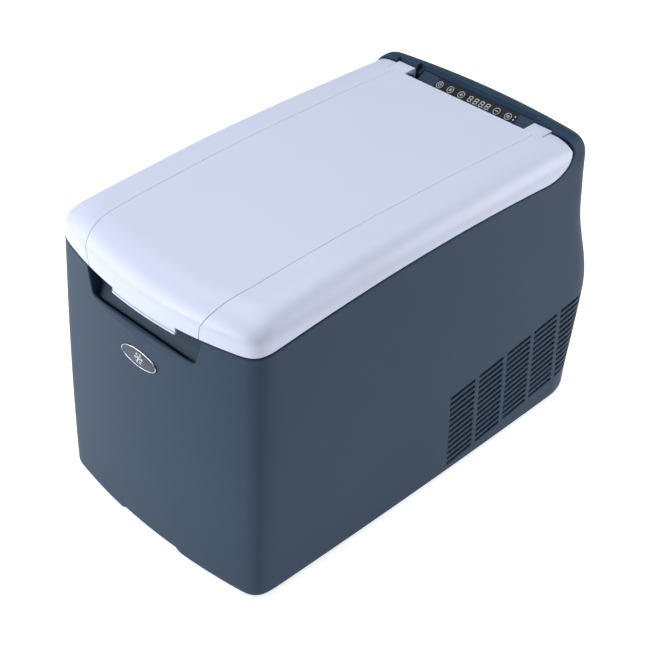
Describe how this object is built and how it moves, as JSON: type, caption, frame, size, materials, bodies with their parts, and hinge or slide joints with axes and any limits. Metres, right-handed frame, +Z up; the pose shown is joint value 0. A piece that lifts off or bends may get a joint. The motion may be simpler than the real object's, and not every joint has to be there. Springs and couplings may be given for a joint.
{
  "type": "compressor cooler fridge",
  "caption": "Portable top-opening compressor cooler with a stepped food tub, hinged insulated lid with flap latch, sloped touch-button control panel and vented machinery bay",
  "frame": {"origin": "middle of the bounding box at ground level, under the four feet", "axes": "+X towards the machinery end with the control panel, +Y to the left side seen from the latch end, +Z up"},
  "size_m": [0.6436, 0.3688, 0.402],
  "materials": {
    "body_plastic": "fine-textured moulded plastic, blue-grey",
    "lid_plastic": "satin moulded plastic, pale lavender white",
    "base_plastic": "black moulded plastic",
    "screw_steel": "plated steel",
    "zinc_steel": "zinc-plated sheet steel",
    "rubber": "matt rubber",
    "gasket_rubber": "soft seal",
    "badge_silver": "blank oval badge with a raised rim",
    "liner_white": "white food-grade plastic",
    "foam": "rigid foamed insulation",
    "overlay_dark": "printed film overlay",
    "display_grey": "seven-segment display window",
    "board_green": "circuit board",
    "button_dark": "dark key cap with a pale ring",
    "led_lens": "clear lens",
    "cable_grey": "flat ribbon",
    "can_black": "black painted steel",
    "copper_tube": "copper tube",
    "fin_aluminium": "thin aluminium sheet",
    "socket_black": "black socket plastic",
    "lamp_lens": "clear lens"
  },
  "bodies": {
    "body": {"body_shell": "body_plastic", "base_plate": "base_plastic", "base_screws": "screw_steel", "rubber_feet": "rubber", "badge_plate": "badge_silver", "grip_insert": "body_plastic", "latch_keeper": "screw_steel", "liner_tub": "liner_white", "tub_rim_frame": "body_plastic", "foam_insulation": "foam", "hinge_brackets": "body_plastic", "hinge_pins": "screw_steel", "hinge_screws": "screw_steel", "control_fascia": "body_plastic", "control_overlay": "overlay_dark", "display_module": "display_grey", "control_board": "board_green", "status_leds": "led_lens", "ribbon_cable": "cable_grey", "compressor_lower_can": "can_black", "compressor_upper_can": "can_black", "compressor_bracket": "zinc_steel", "compressor_grommets": "rubber", "compressor_bolts": "screw_steel", "compressor_driver": "base_plastic", "condenser_coil": "copper_tube", "condenser_fins": "fin_aluminium", "condenser_brackets": "zinc_steel", "fan_shroud": "base_plastic", "fan_motor": "zinc_steel", "fan_screws": "screw_steel", "evaporator_plate": "fin_aluminium", "evaporator_tube": "copper_tube", "suction_line": "copper_tube", "discharge_line": "copper_tube", "filter_drier": "copper_tube", "capillary_tube": "copper_tube", "temperature_probe": "screw_steel", "inlet_panel": "base_plastic", "dc_inlet_socket": "socket_black", "ac_inlet_socket": "socket_black", "fuse_holder": "socket_black", "power_supply": "zinc_steel", "interior_lamp": "liner_white", "lamp_lens": "lamp_lens"},
    "lid": {"lid_outer_shell": "lid_plastic", "lid_inner_panel": "liner_white", "lid_foam_core": "foam", "lid_gasket": "gasket_rubber", "hinge_lugs": "lid_plastic", "latch_bracket": "lid_plastic", "latch_pivot_pin": "screw_steel", "latch_spring": "screw_steel"},
    "latch": {"latch_tab": "lid_plastic"},
    "fan": {"fan_rotor": "base_plastic"},
    "key_power": {"button_power": "button_dark"},
    "key_mode": {"button_mode": "button_dark"},
    "key_plus": {"button_plus": "button_dark"},
    "key_minus": {"button_minus": "button_dark"},
    "key_set": {"button_set": "button_dark"}
  },
  "joints": [
    {"name": "lid_hinge", "type": "hinge", "parent": "body", "child": "lid", "pos_m": [0.238, 0, 0.39], "axis": [0, 1, 0], "range_deg": [0, 95]},
    {"name": "latch_pivot", "type": "hinge", "parent": "lid", "child": "latch", "pos_m": [-0.298, 0, 0.357], "axis": [0, 1, 0], "range_deg": [0, 12], "stiffness_Nm_per_rad": 0.05},
    {"name": "fan_spin", "type": "hinge", "parent": "body", "child": "fan", "pos_m": [0.158, 0.1, 0.084], "axis": [0, 1, 0], "continuous": true},
    {"name": "press_power", "type": "slide", "parent": "body", "child": "key_power", "axis": [0.5, 0, -0.866], "range_m": [0, 0.0008], "stiffness_N_per_m": 800},
    {"name": "press_mode", "type": "slide", "parent": "body", "child": "key_mode", "axis": [0.5, 0, -0.866], "range_m": [0, 0.0008], "stiffness_N_per_m": 800},
    {"name": "press_plus", "type": "slide", "parent": "body", "child": "key_plus", "axis": [0.5, 0, -0.866], "range_m": [0, 0.0008], "stiffness_N_per_m": 800},
    {"name": "press_minus", "type": "slide", "parent": "body", "child": "key_minus", "axis": [0.5, 0, -0.866], "range_m": [0, 0.0008], "stiffness_N_per_m": 800},
    {"name": "press_set", "type": "slide", "parent": "body", "child": "key_set", "axis": [0.5, 0, -0.866], "range_m": [0, 0.0008], "stiffness_N_per_m": 800}
  ]
}
